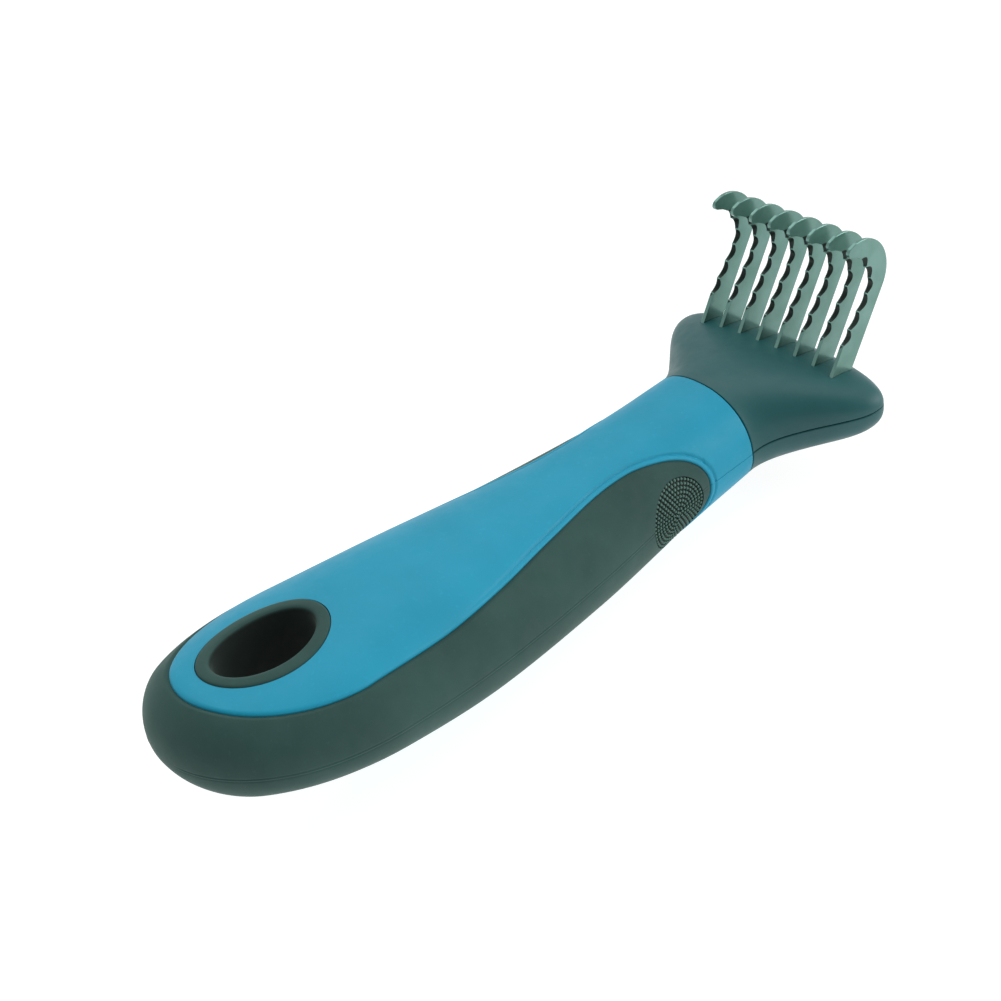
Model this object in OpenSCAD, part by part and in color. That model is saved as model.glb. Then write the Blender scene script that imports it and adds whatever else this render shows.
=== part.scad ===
// Dematting comb: a two-tone moulded handle with a hang hole, and a flared two-shell head that
// clamps a row of hooked, serrated steel blades. +Y runs from the butt to the head, +Z is the
// side that the blades stand on, and the comb lies on a small flat on the handle's back.

/* [Handle] */
// Length from the butt to the end of the collar
handle_l = 129; // [122:1:136]
// Full width at the widest place, near the butt
handle_w = 44; // [40:1:48]
// Thickness of the soft grip over the rigid handle
grip_t = 2.6; // [2:0.1:3]
// Wall of the hollow rigid handle
handle_wall = 2.6; // [2:0.1:3]
// Reach of the tenon that plugs into the head
tenon_l = 10; // [9:0.5:10]
// Width of the tenon
tenon_w = 15; // [12:0.5:16]
// Thickness of the tenon
tenon_t = 9; // [8:0.5:10]

/* [Hang hole] */
// Distance from the butt to the middle of the hang hole
hang_y = 24; // [23:0.5:26]
// Width of the hang hole
hang_w = 13.2; // [12:0.2:14]
// Length of the hang hole
hang_l = 19.8; // [18:0.2:21]
// Thickness of the soft liner in the hang hole
liner_t = 2.8; // [2:0.1:3]

/* [Thumb patches] */
// Radius of the recessed patch on each side of the grip
patch_r = 7.3; // [5:0.1:7.4]
// Depth of the recess below the side of the grip
patch_depth = 0.6; // [0.3:0.1:0.9]

/* [Head] */
// Length of the head beyond the collar
head_l = 29.3; // [28:0.1:31]
// Full width across the wings
head_w = 54; // [52:0.5:58]
// Wall of both head shells
shell_wall = 2; // [1.6:0.1:2.2]

/* [Blades] */
// Distance between neighbouring blades
blade_pitch = 5; // [4.6:0.1:5]
// Thickness of a blade
blade_t = 0.8; // [0.7:0.1:1.2]
// Width of a blade where it leaves the head
shank_w = 5.5; // [5:0.1:5.8]
// Radius of the back of the hook
hook_r = 8; // [7.5:0.1:8.5]
// Lean of the blades, as the angle above the handle's axis
blade_lean = 54; // [50:1:58]
// Length of the straight back, from the hook to the end of the tang
blade_back_l = 29.8; // [29.6:0.1:30.6]
// Radius of the blunt rounded tip
tip_r = 1.1; // [0.9:0.1:1.2]
// Depth of each ground scallop in the cutting edge
scallop_depth = 0.7; // [0.5:0.05:0.8]
// Diameter of the two rods that carry the blades
rod_d = 2; // [1.6:0.1:2.2]

/* [Screws] */
// Diameter of the self-tapping screws' shanks
screw_d = 2.2; // [2:0.1:2.5]
// Diameter of the screws' heads
screw_head_d = 4.2; // [3.8:0.1:4.4]

/* [Hidden] */
BLADE_COUNT = 8;
$fn = 48;

BLUE = [0.22, 0.61, 0.72];
GREY = [0.25, 0.36, 0.35];
STEEL = [0.62, 0.66, 0.64];
NYLON = [0.85, 0.85, 0.82];

// Points in one ring of the handle and the head, and the power of their rounded sections: the
// handle's, and the flatter one that the head reaches at its wings
RING = 36;
SECTION_POWER = 2.2;
WING_SECTION_POWER = 2.9;
// Farther than any part of the comb
FAR = 200;
EPS = 0.01;

// Handle stations: place along the handle, half width, and height of the front, seam and back
STATION_Y = handle_l * [0, 0.17, 0.42, 0.66, 0.86, 1];
STATION_W = handle_w * [0.573, 0.525, 0.457, 0.384, 0.311, 0.305];
STATION_FRONT = [33.6, 32.6, 30.6, 26.6, 25.5, 25.3];
STATION_SEAM = [23.7, 19.6, 14.2, 12.8, 13.0, 13.3];
STATION_BACK = [15.0, 8.9, 0.9, -0.5, 0.7, 3.4];
// Lengths over which the butt rounds off in plan and in thickness
BUTT_PLAN_R = 35;
BUTT_EDGE_R = 10;

// Head stations, in fractions of the head's length
HEAD_Y = [for (f = [0, 0.24, 0.48, 0.75, 1]) handle_l + head_l * f];
HEAD_FRONT = [25.3, 25.0, 24.3, 22.7, 20.6];
HEAD_SEAM = [13.3, 14.8, 16.0, 16.4, 16.4];
HEAD_BACK = [3.4, 5.0, 6.3, 6.9, 8.0];
WING_Y = handle_l + 0.755 * head_l;
NECK_W = STATION_W[5];
HEAD_END_R = 6;
HEAD_POWER = 2.4;

// Half width of the blue inlay beyond its elliptical butt end
INLAY_END = 6.8;
INLAY_WIDEST = 32;
INLAY_Y = [32, 50, 64, 78, 92, 101, 108, 112.5, 115.5, 117.8];
INLAY_W = [17.9, 16.8, 14.7, 11.7, 9.0, 8.5, 9.6, 11.2, 12.6, 16];

PATCH_Y = 107.6;

// Hook centre of the blades
HOOK_Y = handle_l + 28.8;
HOOK_Z = 40;
OVERALL_L = HOOK_Y + hook_r;

LEAN = [cos(blade_lean), sin(blade_lean)];
SQUARE = [sin(blade_lean), -cos(blade_lean)];
TIP = [-1.65, 6.55];
// Points between the scallops, from the corner under the tip down to the lowest tooth, measured
// from the hook's centre: [along Y, along Z]
TEETH = [[0.7, 3.95], [1.9, 1.5], [2.9, -1.5], [1.6, -4.4], [-1, -7.15], [-3.8, -9.9], [-6, -12.4]];
// Places of the two rods, measured back along the tang from the hook
ROD_BACK = [24.6, 28];
TANG_TOP = 19;
// Clearance of the blades in their slots, and of the tang stack and the tenon in the shells
CLEARANCE = 0.1;
END_SPACER_T = 1.2;
// Width of the whole stack of blades and spacers
STACK_W = (BLADE_COUNT - 1) * blade_pitch + blade_t + 2 * END_SPACER_T;
// Heights at which the spacers between the blades and at the ends of the row stop, under the shell
SPACER_TOP = 19;
END_SPACER_TOP = 18.6;

SCREWS = [[21.6, WING_Y - 1.2], [-21.6, WING_Y - 1.2], [0, handle_l + 6]];
BOSS_R = 2.5;
RIB_T = 1.6;

// ---------------------------------------------------------------- curves

function slope(xs, vs, i) =
    let (a = max(i - 1, 0), b = min(i + 1, len(xs) - 1))
    (vs[b] - vs[a]) / (xs[b] - xs[a]);

function segment(xs, x, i = 0) =
    i >= len(xs) - 2 || x <= xs[i + 1] ? i : segment(xs, x, i + 1);

// Smooth curve through the stations (xs, vs), read at x
function curve(xs, vs, x) =
    let (
        i = segment(xs, x),
        h = xs[i + 1] - xs[i],
        t = (x - xs[i]) / h,
        a = vs[i],
        b = vs[i + 1],
        ma = slope(xs, vs, i) * h,
        mb = slope(xs, vs, i + 1) * h
    )
    a + t * ma + t * t * (3 * (b - a) - 2 * ma - mb) + t * t * t * (ma + mb - 2 * (b - a));

// Rounding of an end: 0 at distance 0 from the end, 1 from distance r on
function round_off(d, r, power = 2) = d >= r ? 1 : sqrt(max(0, 1 - pow((r - d) / r, power)));

function seam_z(y) =
    y < handle_l ? curve(STATION_Y, STATION_SEAM, y) : curve(HEAD_Y, HEAD_SEAM, min(y, HEAD_Y[4]));

// Rounded section at y: half width w, reach up and down from the seam height
function ring(y, w, seam, up, down, power = SECTION_POWER) = [
    for (k = [0:RING - 1])
        let (a = 360 * (k + 0.5) / RING, c = cos(a), s = sin(a), p = 2 / power)
        [
            w * sign(c) * pow(abs(c), p),
            y,
            seam + (s > 0 ? up : down) * sign(s) * pow(abs(s), p)
        ]
];

function handle_ring(y, inset) =
    let (
        d = y - inset,
        seam = curve(STATION_Y, STATION_SEAM, y),
        edge = round_off(d, BUTT_EDGE_R - min(inset, BUTT_EDGE_R / 2))
    )
    ring(
        y,
        (curve(STATION_Y, STATION_W, y) - inset) * round_off(d, BUTT_PLAN_R - inset),
        seam,
        (curve(STATION_Y, STATION_FRONT, y) - seam - inset) * edge,
        (seam - curve(STATION_Y, STATION_BACK, y) - inset) * edge
    );

// Smooth step from the collar (0) to the wings (1)
function wing_share(y) =
    let (t = max(0, min(1, (y - handle_l) / (WING_Y - handle_l))))
    t * t * (3 - 2 * t);

function head_w_at(y) = NECK_W + (head_w / 2 - NECK_W) * wing_share(y);

function head_ring(y, inset) =
    let (
        d = HEAD_Y[4] - inset - y,
        seam = curve(HEAD_Y, HEAD_SEAM, y),
        edge = round_off(d, HEAD_END_R, HEAD_POWER)
    )
    ring(
        y,
        (head_w_at(y) - inset) * round_off(d, HEAD_Y[4] - WING_Y - inset / 2, HEAD_POWER),
        seam,
        (curve(HEAD_Y, HEAD_FRONT, y) - seam - inset) * edge,
        (seam - curve(HEAD_Y, HEAD_BACK, y) - inset) * edge,
        SECTION_POWER + (WING_SECTION_POWER - SECTION_POWER) * wing_share(y)
    );

// Closed solid through a list of rings
module loft(rings) {
    n = len(rings);
    m = RING;
    polyhedron(
        points = [for (r = rings) for (p = r) p],
        faces = [
            [for (k = [m - 1:-1:0]) k],
            for (i = [0:n - 2])
                for (k = [0:m - 1])
                    [i * m + (k + 1) % m, (i + 1) * m + (k + 1) % m, (i + 1) * m + k, i * m + k],
            [for (k = [0:m - 1]) (n - 1) * m + k]
        ]
    );
}

// Handle's outer form, shrunk by inset, from the butt to y = last
module handle_form(inset = 0, last = handle_l, near = 7, rows = 12) {
    start = inset + 0.05;
    loft([
        for (i = [0:near - 1]) handle_ring(start + 12 * pow(i / near, 2), inset),
        for (i = [0:rows]) handle_ring(start + 12 + (last - start - 12) * i / rows, inset)
    ]);
}

// Head's outer form, shrunk by inset, from the collar to its far end
module head_form(inset = 0, first = handle_l) {
    rows = 7;
    near = 5;
    last = HEAD_Y[4] - inset - 0.05;
    turn = last - 8;
    loft([
        for (i = [0:rows - 1]) head_ring(first + (turn - first) * i / rows, inset),
        for (i = [0:near]) head_ring(last - 8 * pow(1 - i / near, 2), inset)
    ]);
}

// Evaluates a free-form shape as one mesh
module as_mesh() resize([0, 0, 0]) children();

// Everything in front of the seam between the front and rear pieces
module front_side() {
    rotate([90, 0, 90])
        linear_extrude(FAR, center = true)
            polygon([
                for (i = [0:13]) let (y = -1 + (HEAD_Y[4] + 2) * i / 13) [y, seam_z(max(y, 0))],
                [HEAD_Y[4] + 1, FAR],
                [-1, FAR]
            ]);
}

// Places the design, which starts at the butt, about the middle of the comb's length
module place() translate([0, -OVERALL_L / 2, 0]) children();

// ---------------------------------------------------------------- handle

function inlay_side() = [
    for (a = [-90:15:-15]) [
        INLAY_W[0] * cos(a),
        INLAY_WIDEST + (INLAY_WIDEST - INLAY_END) * sin(a)
    ],
    for (y = [INLAY_WIDEST:7:102]) [curve(INLAY_Y, INLAY_W, y), y],
    for (y = [105:2:117]) [curve(INLAY_Y, INLAY_W, y), y]
];

// Plan outline of the blue face that shows between the two sides of the grip
module inlay_outline() {
    side = inlay_side();
    n = len(side);
    polygon([
        for (p = side) p,
        [FAR, INLAY_Y[9]],
        [FAR, FAR],
        [-FAR, FAR],
        [-FAR, INLAY_Y[9]],
        for (i = [n - 1:-1:1]) [-side[i][0], side[i][1]]
    ]);
}

module oval(w, l) translate([0, hang_y]) scale([w / l, 1]) circle(d = l);

module tenon_block(extra = 0) {
    w = tenon_w + 2 * extra;
    t = tenon_t + 2 * extra;
    translate([-w / 2, handle_l - EPS, seam_z(handle_l) - t / 2])
        cube([w, tenon_l + EPS, t]);
}

// Rigid handle before it is split: blue face, ledge under the grip, tenon and hollow
module handle_core() {
    difference() {
        union() {
            intersection() {
                handle_form();
                linear_extrude(FAR, center = true) inlay_outline();
            }
            handle_form(grip_t, handle_l - 1);
            tenon_block();
        }
        intersection() {
            handle_form(grip_t + handle_wall, handle_l - 6, 4, 8);
            translate([-FAR / 2, hang_y + hang_l / 2 + liner_t + 3, -FAR / 2]) cube(FAR);
        }
        linear_extrude(FAR, center = true) oval(hang_w + 2 * liner_t, hang_l + 2 * liner_t);
        translate([0, SCREWS[2][1], 0]) cylinder(d = screw_d + 0.4, h = FAR, center = true);
        translate([-FAR / 2, 0, -FAR]) cube(FAR);
    }
}

module handle_front_half() {
    color(BLUE) place() as_mesh() intersection() {
        handle_core();
        front_side();
    }
}

module handle_rear_half() {
    color(BLUE) place() as_mesh() difference() {
        handle_core();
        front_side();
    }
}

// Soft band that wraps the butt and both sides of the handle
module grip_overmold() {
    color(GREY) place() as_mesh() difference() {
        handle_form();
        handle_form(grip_t, handle_l - 1);
        linear_extrude(FAR, center = true) inlay_outline();
        for (side = [-1, 1])
            translate([side * (curve(STATION_Y, STATION_W, PATCH_Y) - patch_depth), PATCH_Y, seam_z(PATCH_Y)])
                rotate([0, side * 90, 0])
                    cylinder(r = patch_r, h = 5);
    }
}

module hang_liner() {
    color(GREY) place() as_mesh() intersection() {
        handle_form(-0.3);
        linear_extrude(FAR, center = true) difference() {
            oval(hang_w + 2 * liner_t, hang_l + 2 * liner_t);
            oval(hang_w, hang_l);
        }
    }
}

// ---------------------------------------------------------------- blades

// Point on the line of the blade's back, measured down from the hook
function back_point(d) = hook_r * SQUARE - d * LEAN;

// Point on the straight part of the inner edge, measured down from the hook
function edge_point(d) = (hook_r - shank_w) * SQUARE - d * LEAN;

// Point of the scallop below tooth i: t is 0 at that tooth and 1 at the next
function scallop_point(i, t) =
    let (
        run = TEETH[i + 1] - TEETH[i],
        inward = [-run[1], run[0]] / norm(run)
    )
    TEETH[i] + t * run + scallop_depth * sin(180 * pow(t, 0.8)) * inward;

// Side view of one blade about its hook's centre: [along Y, along Z]
module blade_outline() {
    last = len(TEETH) - 1;
    difference() {
        polygon([
            back_point(blade_back_l),
            for (a = [blade_lean - 90:6:94]) hook_r * [cos(a), sin(a)],
            for (a = [100:20:240]) TIP + tip_r * [cos(a), sin(a)],
            for (i = [0:last - 1]) for (t = [0:0.2:0.8]) scallop_point(i, t),
            TEETH[last],
            edge_point(TANG_TOP),
            edge_point(blade_back_l)
        ]);
        rod_holes();
    }
}

module rod_holes(d = rod_d) {
    for (back = ROD_BACK) translate(back_point(back) - shank_w / 2 * SQUARE) circle(d = d);
}

// Straight part of a blade, between two distances below the hook
module tang_outline(top, grow = 0, bottom = blade_back_l) {
    polygon([
        back_point(bottom + grow) + grow * SQUARE,
        back_point(top) + grow * SQUARE,
        edge_point(top) - grow * SQUARE,
        edge_point(bottom + grow) - grow * SQUARE
    ]);
}

// Side view of a spacer: the tang, cut level at a height
module spacer_outline(top_z, grow = 0) {
    intersection() {
        tang_outline(TANG_TOP, grow);
        translate([-FAR / 2, top_z + grow - HOOK_Z - FAR]) square(FAR);
    }
}

// Stands a side view up at x, with thickness t
module stand(x, t) {
    translate([x, HOOK_Y, HOOK_Z])
        rotate([90, 0, 90])
            linear_extrude(t, center = true)
                children();
}

function blade_x(i) = (i - (BLADE_COUNT + 1) / 2) * blade_pitch;

module blade(i) color(STEEL) place() stand(blade_x(i), blade_t) blade_outline();

module spacer(i) {
    color(NYLON) place() stand(blade_x(i) + blade_pitch / 2, blade_pitch - blade_t) difference() {
        spacer_outline(SPACER_TOP);
        rod_holes();
    }
}

module end_spacer(side) {
    color(NYLON) place() stand(side * (STACK_W - END_SPACER_T) / 2, END_SPACER_T) difference() {
        spacer_outline(END_SPACER_TOP);
        rod_holes();
    }
}

module rod(back) {
    at = back_point(back) - shank_w / 2 * SQUARE;
    color(STEEL) place() translate([0, HOOK_Y + at[0], HOOK_Z + at[1]])
        rotate([0, 90, 0])
            cylinder(d = rod_d, h = STACK_W, center = true);
}

// ---------------------------------------------------------------- head

// Ribs and bosses inside the head, with room left for the stack of blades and the tenon
module head_inside() {
    difference() {
        union() {
            for (x = [-15, -5, 5, 15])
                translate([x - RIB_T / 2, handle_l + tenon_l - 3.5, 0]) cube([RIB_T, FAR, FAR]);
            for (y = [1.8, 7.8]) translate([-FAR / 2, handle_l + y, 0]) cube([FAR, RIB_T, FAR]);
            for (s = SCREWS) translate([s[0], s[1], 0]) cylinder(r = BOSS_R, h = FAR);
        }
        stand(0, STACK_W + 2 * CLEARANCE) spacer_outline(SPACER_TOP, CLEARANCE);
        tenon_block(CLEARANCE);
    }
}

// Whole head before it is split: wall, ribs, bosses, blade slots and screw holes
module head_body() {
    difference() {
        head_form();
        difference() {
            head_form(shell_wall, handle_l - 1);
            head_inside();
        }
        for (i = [1:BLADE_COUNT])
            stand(blade_x(i), blade_t + 2 * CLEARANCE) tang_outline(10, 1.5 * CLEARANCE, 26);
        for (s = SCREWS) translate([s[0], s[1], 0]) screw_space(s);
    }
}

// Height of the underside of a screw's head: it sits on the boss inside the rear shell
function screw_seat(s) = seam_z(s[1]) - (abs(s[0]) > 1 ? 3 : tenon_t / 2 + 1.6);

function screw_reach(s) = abs(s[0]) > 1 ? 5.6 : tenon_t + 4;

module screw_space(s) {
    translate([0, 0, screw_seat(s) - FAR]) cylinder(d = screw_head_d + 2 * CLEARANCE, h = FAR);
    translate([0, 0, screw_seat(s) - EPS]) cylinder(d = screw_d, h = screw_reach(s));
}

module head_front_shell() {
    color(GREY) place() as_mesh() intersection() {
        head_body();
        front_side();
    }
}

module head_rear_shell() {
    color(GREY) place() as_mesh() difference() {
        head_body();
        front_side();
    }
}

// Pan-head self-tapping screw with a cross recess, head down
module screw(s) {
    head_t = 1.4;
    translate([s[0], s[1], screw_seat(s)]) {
        difference() {
            translate([0, 0, -head_t]) cylinder(d = screw_head_d, h = head_t);
            for (a = [0, 90]) rotate(a) translate([-1.1, -0.25, -head_t - EPS]) cube([2.2, 0.5, 0.8]);
        }
        cylinder(d = screw_d, h = screw_reach(s) - 1);
        translate([0, 0, screw_reach(s) - 1]) cylinder(d1 = screw_d, d2 = 0.6, h = 0.8);
    }
}

module head_screws() color(STEEL) place() for (s = SCREWS) screw(s);

// ---------------------------------------------------------------- nodes

handle_front_half();
handle_rear_half();
grip_overmold();
hang_liner();
head_front_shell();
head_rear_shell();
for (i = [1:BLADE_COUNT]) blade(i);
for (i = [1:BLADE_COUNT - 1]) spacer(i);
end_spacer(-1);  // end_spacer_left
end_spacer(1);  // end_spacer_right
rod(ROD_BACK[0]);  // upper_rod
rod(ROD_BACK[1]);  // lower_rod
head_screws();
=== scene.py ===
"""Looks of the dematting comb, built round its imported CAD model.

Lengths in this script are millimetres in the design frame, where s runs from the butt (0) to the tips
of the hooks (OVERALL_L), x is across and z is up. place() turns them into metres in the shared frame.
"""

import math

import bmesh
import bpy
import numpy as np
from mathutils import Matrix, Vector


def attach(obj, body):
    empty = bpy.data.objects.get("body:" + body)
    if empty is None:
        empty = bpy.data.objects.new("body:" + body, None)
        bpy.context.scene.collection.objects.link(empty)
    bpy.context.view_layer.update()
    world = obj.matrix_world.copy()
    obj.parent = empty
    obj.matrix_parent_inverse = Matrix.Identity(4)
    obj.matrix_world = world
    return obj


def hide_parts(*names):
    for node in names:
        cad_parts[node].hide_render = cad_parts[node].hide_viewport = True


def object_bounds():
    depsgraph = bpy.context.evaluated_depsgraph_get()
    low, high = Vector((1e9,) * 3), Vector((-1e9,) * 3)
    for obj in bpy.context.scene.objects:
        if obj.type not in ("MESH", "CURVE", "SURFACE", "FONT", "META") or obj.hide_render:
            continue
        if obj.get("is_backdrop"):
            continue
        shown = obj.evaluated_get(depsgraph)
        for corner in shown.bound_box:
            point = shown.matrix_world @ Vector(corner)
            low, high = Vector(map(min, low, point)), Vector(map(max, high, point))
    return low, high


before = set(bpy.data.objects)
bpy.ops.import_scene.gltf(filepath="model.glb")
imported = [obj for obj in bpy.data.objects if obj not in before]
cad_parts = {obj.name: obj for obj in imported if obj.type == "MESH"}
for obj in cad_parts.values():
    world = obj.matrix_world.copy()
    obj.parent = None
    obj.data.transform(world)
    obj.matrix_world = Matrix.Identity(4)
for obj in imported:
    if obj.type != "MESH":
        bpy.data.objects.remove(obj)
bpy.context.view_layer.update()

MM = 0.001
OVERALL_L = 165.8

# Power of the rounded sections, where 2 would be an ellipse
SECTION_POWER = 2.2
WING_SECTION_POWER = 2.6

# Handle stations: place along the handle, half width, and heights of the front, seam and back
COLLAR_S = 129
HANDLE_W = 44
STATION_S = COLLAR_S * np.array([0, 0.17, 0.42, 0.66, 0.86, 1])
STATION_W = HANDLE_W * np.array([0.573, 0.525, 0.457, 0.384, 0.311, 0.305])
STATION_FRONT = [33.6, 32.6, 30.6, 26.6, 25.5, 25.3]
STATION_SEAM = [23.7, 19.6, 14.2, 12.8, 13.0, 13.3]
STATION_BACK = [15.0, 8.9, 0.9, -0.5, 0.7, 3.4]

# Butt: where it starts, and how far its rounding runs in the plan and over its edge
START = 0.06
BUTT_PLAN_R = 35
BUTT_EDGE_R = 10

# Head stations
HEAD_L = 29.3
HEAD_END_S = COLLAR_S + HEAD_L
HEAD_S = COLLAR_S + HEAD_L * np.array([0, 0.24, 0.48, 0.75, 1])
HEAD_FRONT = [25.3, 25.0, 24.3, 22.7, 20.6]
HEAD_SEAM = [13.3, 14.8, 16.0, 16.4, 16.4]
HEAD_BACK = [3.4, 5.0, 6.3, 6.9, 8.0]
WING_S = COLLAR_S + 0.755 * HEAD_L
WING_HALF_W = 26.82
HEAD_END_R = 6
HEAD_POWER = 2.4

# Head's parting line, screws as (across, along), and their bosses and seats below the seam
PART_GAP = 0.07
SCREWS = [(21.6, WING_S - 1.2), (-21.6, WING_S - 1.2), (0, COLLAR_S + 6)]
SCREW_HOLE_R = 2.25
BOSS_R = 2.8
WING_SEAT = 3
TENON_SEAT = 6.1

# Walls of the hollow pieces, lowest height of the handle's inside, and play at the collar's end
BLUE_WALL = 2.4
GRIP_WALL = 2.3
HEAD_WALL = 1.9
PAD_WALL = 1.9
INSIDE_Z = 1.2
COLLAR_PLAY = 0.06

# Blue inlay: a half ellipse from INLAY_END to INLAY_WIDEST, then its half width at places up to the nose
INLAY_END = 6.8
INLAY_WIDEST = 32
INLAY_S = [32, 50, 64, 78, 92, 101, 108, 112.5, 115.1, 116.4, 117.3, 118]
INLAY_W = [17.9, 16.8, 14.7, 11.7, 9.0, 8.5, 9.6, 11.0, 12.25, 13.0, 13.5, 13.9]

# Hang hole and its liner
HANG_S = 24
HANG_W = 13.2
HANG_L = 19.8
LINER_T = 2.8
LINER_COUNT = 160

# Where along the handle the blue border's crease and the grip's flatter edge set in
CREASE_FROM, CREASE_FULL = 52, 78
FLAT_FROM, FLAT_FULL = 56, 84

# Thumb patches: place, recess, and the rings of small bumps on their floor
PATCH_S = 107.4
PATCH_R = 7.4
PATCH_DROP = 0.8
PAD_DEPTH = -0.55
DOT_H = 0.5
DOT_R = 0.32
DOT_START = 0.45
DOT_PITCH = 0.81
DOT_SPACING = 0.85
DOT_RINGS = 9

# Blades. Points are (along s, up) in the plane of a blade, from the middle of its hook
BLADE_COUNT = 8
BLADE_PITCH = 5
BLADE_T = 0.8
HOOK_S = COLLAR_S + 28.8
HOOK_Z = 40
HOOK_R = 7.99
SHANK_W = 5.5
SHANK_EDGE = 8 - SHANK_W
LEAN_ANGLE = math.radians(54)
LEAN = np.array([math.cos(LEAN_ANGLE), math.sin(LEAN_ANGLE)])
SQUARE = np.array([math.sin(LEAN_ANGLE), -math.cos(LEAN_ANGLE)])
TANG_END = 29.8
TIP = np.array([-1.65, 6.55])
TIP_R = 1.1
MOUTH = np.array([-0.5, 4.85])
BEVEL = 0.1
TEETH = [(0.7, 3.95), (1.9, 1.5), (2.9, -1.5), (1.6, -4.4), (-1.0, -7.15), (-3.8, -9.9), (-6.0, -12.4)]
SCALLOP_DEPTH = 0.5
GRIND_DEPTH = 1.15
TOOTH_LAND = 0.22
ROD_BACK = [24.6, 28]
ROD_D = 2

# Studio: brightness all round, brightness towards the photographer's side, and where that side is
WORLD_LIGHT = 0.75
WORLD_DARK = 0.35
DARK_WAY = (0.68, -0.46, 0.56)
FLOOR_HALF = 3.0

# Camera: angles in degrees, place in millimetres of the shared frame, lens in millimetres
CAMERA_TURN = 56.376
CAMERA_RISE = 37.128
CAMERA_ROLL = -12.306
CAMERA_AT = (216.29, -149.508, 225.221)
CAMERA_LENS = 63.8

# Columns of the grids: arc distances from an edge and from a seam at which they lie close together,
# drawn closer still where the arc is shorter than SHORT_ARC
EDGE_STOPS = np.array(
    [0, 0.07, 0.16, 0.27, 0.4, 0.53, 0.66, 0.8, 0.93, 1.05, 1.17, 1.3, 1.43, 1.58, 1.75, 2.0, 2.3, 2.7]
)
SEAM_STOPS = np.array([0, 0.06, 0.13, 0.2, 0.27, 0.34, 0.42, 0.55, 0.8])
SHORT_ARC = 6
MIRROR = np.array([-1, 1, 1])
WELD = 2e-6


# ---------------------------------------------------------------- curves and forms


def curve(xs, vs, x):
    """Smooth curve through the stations (xs, vs), read at x."""
    xs, vs = np.asarray(xs, float), np.asarray(vs, float)
    x = np.clip(x, xs[0], xs[-1])
    slope = np.empty_like(vs)
    slope[1:-1] = (vs[2:] - vs[:-2]) / (xs[2:] - xs[:-2])
    slope[0] = (vs[1] - vs[0]) / (xs[1] - xs[0])
    slope[-1] = (vs[-1] - vs[-2]) / (xs[-1] - xs[-2])
    i = np.clip(np.searchsorted(xs, x, side="right") - 1, 0, len(xs) - 2)
    h = xs[i + 1] - xs[i]
    t = (x - xs[i]) / h
    a, b = vs[i], vs[i + 1]
    ma, mb = slope[i] * h, slope[i + 1] * h
    return a + t * ma + t**2 * (3 * (b - a) - 2 * ma - mb) + t**3 * (ma + mb - 2 * (b - a))


def round_off(d, r, power=2.0):
    """Rounding of an end: 0 at the end, 1 from distance r on."""
    share = np.clip((r - d) / r, 0, 1)
    return np.maximum(1 - share**power, 0) ** (1 / power)


def smooth(a, b, x):
    """0 before a, 1 after b, and a smooth step between."""
    t = np.clip((np.asarray(x, float) - a) / (b - a), 0, 1)
    return t * t * (3 - 2 * t)


def handle_form(s):
    """Half width, seam height, reach above and below the seam, and section power of the handle at s."""
    seam = curve(STATION_S, STATION_SEAM, s)
    edge = round_off((s - START) * BUTT_EDGE_R / (BUTT_EDGE_R - START), BUTT_EDGE_R)
    width = curve(STATION_S, STATION_W, s)
    width = width * round_off((s - START) * BUTT_PLAN_R / (BUTT_PLAN_R - START), BUTT_PLAN_R)
    up = (curve(STATION_S, STATION_FRONT, s) - seam) * edge
    down = (seam - curve(STATION_S, STATION_BACK, s)) * edge
    return width, seam, up, down, SECTION_POWER


def head_form(s):
    """Half width, seam height, reach above and below the seam, and section power of the head at s."""
    d = HEAD_END_S - s
    seam = curve(HEAD_S, HEAD_SEAM, s)
    neck = STATION_W[5]
    share = smooth(COLLAR_S, WING_S, s)
    width = neck + (WING_HALF_W - neck) * share
    width = width * round_off(d, HEAD_END_S - WING_S, HEAD_POWER)
    edge = round_off(d, HEAD_END_R, HEAD_POWER)
    up = (curve(HEAD_S, HEAD_FRONT, s) - seam) * edge
    down = (seam - curve(HEAD_S, HEAD_BACK, s)) * edge
    return width, seam, up, down, SECTION_POWER + (WING_SECTION_POWER - SECTION_POWER) * share


def on_form(form, s, angle):
    """Points of a form's section at s: angle 0 is the seam at +x, pi/2 the front, -pi/2 the back."""
    s, angle = np.broadcast_arrays(np.asarray(s, float), angle)
    width, seam, up, down, power = form(s)
    c, q = np.cos(angle), np.sin(angle)
    p = 2 / power
    x = width * np.sign(c) * np.abs(c) ** p
    z = seam + np.where(q > 0, up, down) * np.sign(q) * np.abs(q) ** p
    return np.stack([x, s, z], -1)


def over_plan(form, x, s, side):
    """Points of a form above (side 1) or below (side -1) a place in the plan."""
    width, seam, up, down, power = form(s)
    share = np.clip(np.abs(x) / np.maximum(width, 1e-9), 0, 1) ** power
    z = seam + side * (up if side > 0 else down) * (1 - share) ** (1 / power)
    return np.stack([x, s, z], -1)


def outward(form, points):
    """Unit normals of a form at its points, from the slope of its own equation."""
    step = 2e-3

    def value(p):
        width, seam, up, down, power = form(p[..., 1])
        dz = p[..., 2] - seam
        reach = np.where(dz > 0, up, down)
        across = (np.abs(p[..., 0]) / np.maximum(width, 1e-3)) ** power
        return across + (np.abs(dz) / np.maximum(reach, 1e-3)) ** power

    slopes = []
    for axis in range(3):
        shift = np.zeros(3)
        shift[axis] = step
        slopes.append(value(points + shift) - value(points - shift))
    normals = np.stack(slopes, -1)
    return normals / np.maximum(np.linalg.norm(normals, axis=-1, keepdims=True), 1e-12)


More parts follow.
